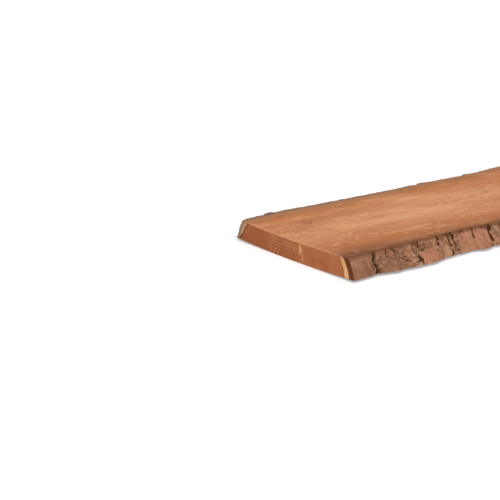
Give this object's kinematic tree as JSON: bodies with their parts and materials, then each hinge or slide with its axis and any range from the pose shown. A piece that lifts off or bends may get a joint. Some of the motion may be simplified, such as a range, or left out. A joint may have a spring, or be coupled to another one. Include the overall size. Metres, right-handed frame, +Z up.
{
  "type": "waney-edge timber plank",
  "caption": "Softwood plank sawn from the side of a log: flat rough-sawn faces, square ends and natural waney edges that keep their bark.",
  "frame": {"origin": "middle of the underside, on the floor that the plank lies on", "axes": "+X along the grain towards the log's top end, +Y across the board, +Z up out of the narrower sawn face"},
  "size_m": [2, 0.2245, 0.025],
  "materials": {
    "timber": "rough sawn, unplaned and untreated",
    "bark": "dry flaky softwood bark"
  },
  "bodies": {
    "root": {"plank": "timber"}
  },
  "joints": []
}
